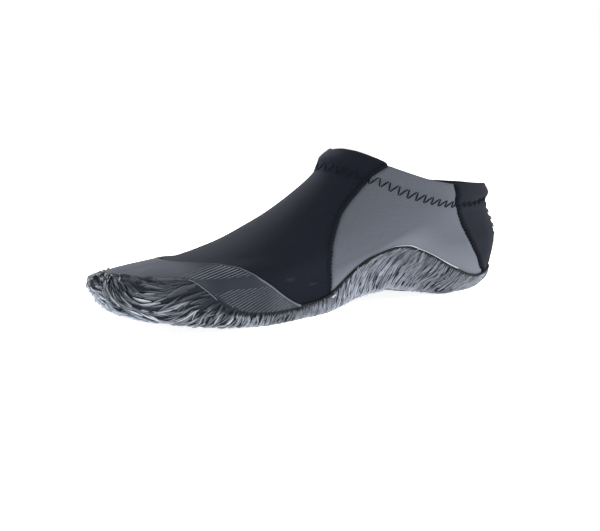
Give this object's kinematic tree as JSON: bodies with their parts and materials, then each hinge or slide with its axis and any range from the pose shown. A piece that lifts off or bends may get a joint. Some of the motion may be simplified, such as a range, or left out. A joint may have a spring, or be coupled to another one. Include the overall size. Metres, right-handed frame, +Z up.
{
  "type": "wetsuit bootie",
  "caption": "Low slip-on wetsuit bootie: neoprene upper with folded hem, moulded rubber cup sole with toe bumper and arch wrap, toe cap, insole and heel seam.",
  "frame": {"origin": "middle of the bootie's box, on the floor it stands on", "axes": "+X along the foot to the toe, +Y to the inner side of the foot, +Z up"},
  "size_m": [0.289, 0.0964, 0.1005],
  "materials": {
    "sole_rubber": "moulded strands, satin",
    "neoprene": "knitted jersey on foam, matt, black with grey quarters",
    "insole_foam": "pale grey cloth on foam, matt",
    "cap_rubber": "fine diagonal ribs, satin",
    "seam_tape": "black zigzag stitched seam"
  },
  "bodies": {
    "root": {"outsole": "sole_rubber", "upper": "neoprene", "insole": "insole_foam", "toe_cap": "cap_rubber", "heel_seam": "seam_tape"}
  },
  "joints": []
}
